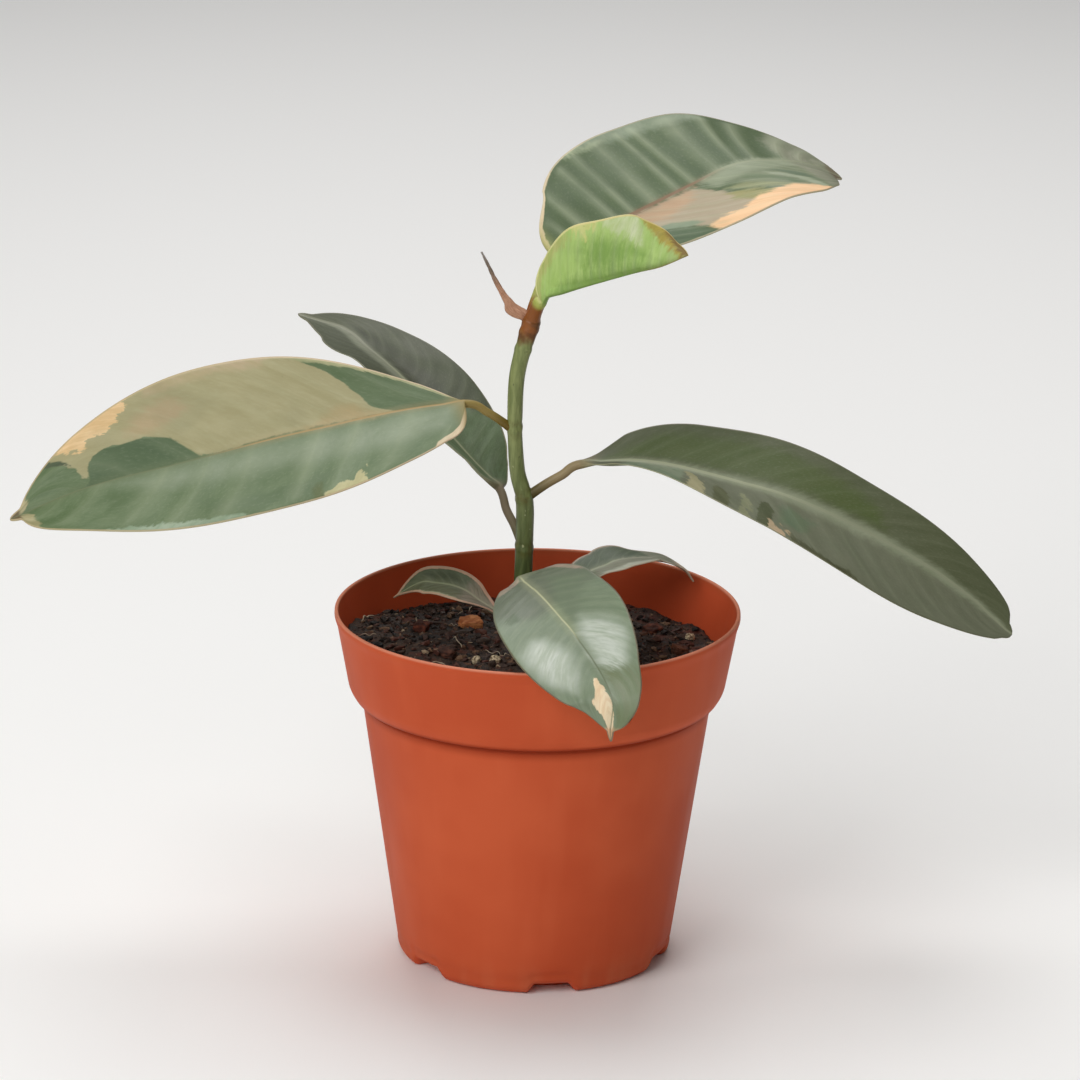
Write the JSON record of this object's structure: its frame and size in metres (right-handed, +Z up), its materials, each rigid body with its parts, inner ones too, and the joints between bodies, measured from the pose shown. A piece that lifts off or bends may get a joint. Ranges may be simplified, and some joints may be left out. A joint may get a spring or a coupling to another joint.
{
  "type": "potted rubber plant",
  "caption": "Young variegated rubber plant with broad drooping leaves along one curved stem, growing in a round tapered nursery pot with a deep collar.",
  "frame": {"origin": "centre of the pot's base, on the ground", "axes": "+Z up, -Y towards the front, +X to the right when seen from the front"},
  "size_m": [0.2619, 0.1572, 0.2159],
  "materials": {
    "terracotta_plastic": "satin",
    "potting_mix": "matte",
    "green_stem": "satin",
    "variegated_leaf": "satin",
    "young_leaf": "satin",
    "dried_sheath": "matte",
    "bark": "matte",
    "pumice": "matte"
  },
  "bodies": {
    "root": {"nursery_pot": "terracotta_plastic", "potting_mix": "potting_mix", "main_stem": "green_stem", "leaf_left_large": "variegated_leaf", "leaf_back_left": "variegated_leaf", "leaf_right": "variegated_leaf", "leaf_top": "variegated_leaf", "leaf_new": "young_leaf", "leaf_front": "variegated_leaf", "leaf_small_left": "variegated_leaf", "leaf_small_right": "variegated_leaf", "dried_stipule": "dried_sheath", "bark_chip_1": "bark", "bark_chip_2": "bark", "bark_chip_3": "bark", "bark_chip_4": "bark", "bark_chip_5": "bark", "bark_chip_6": "bark", "pumice_grain_1": "pumice", "pumice_grain_2": "pumice", "pumice_grain_3": "pumice"}
  },
  "joints": []
}
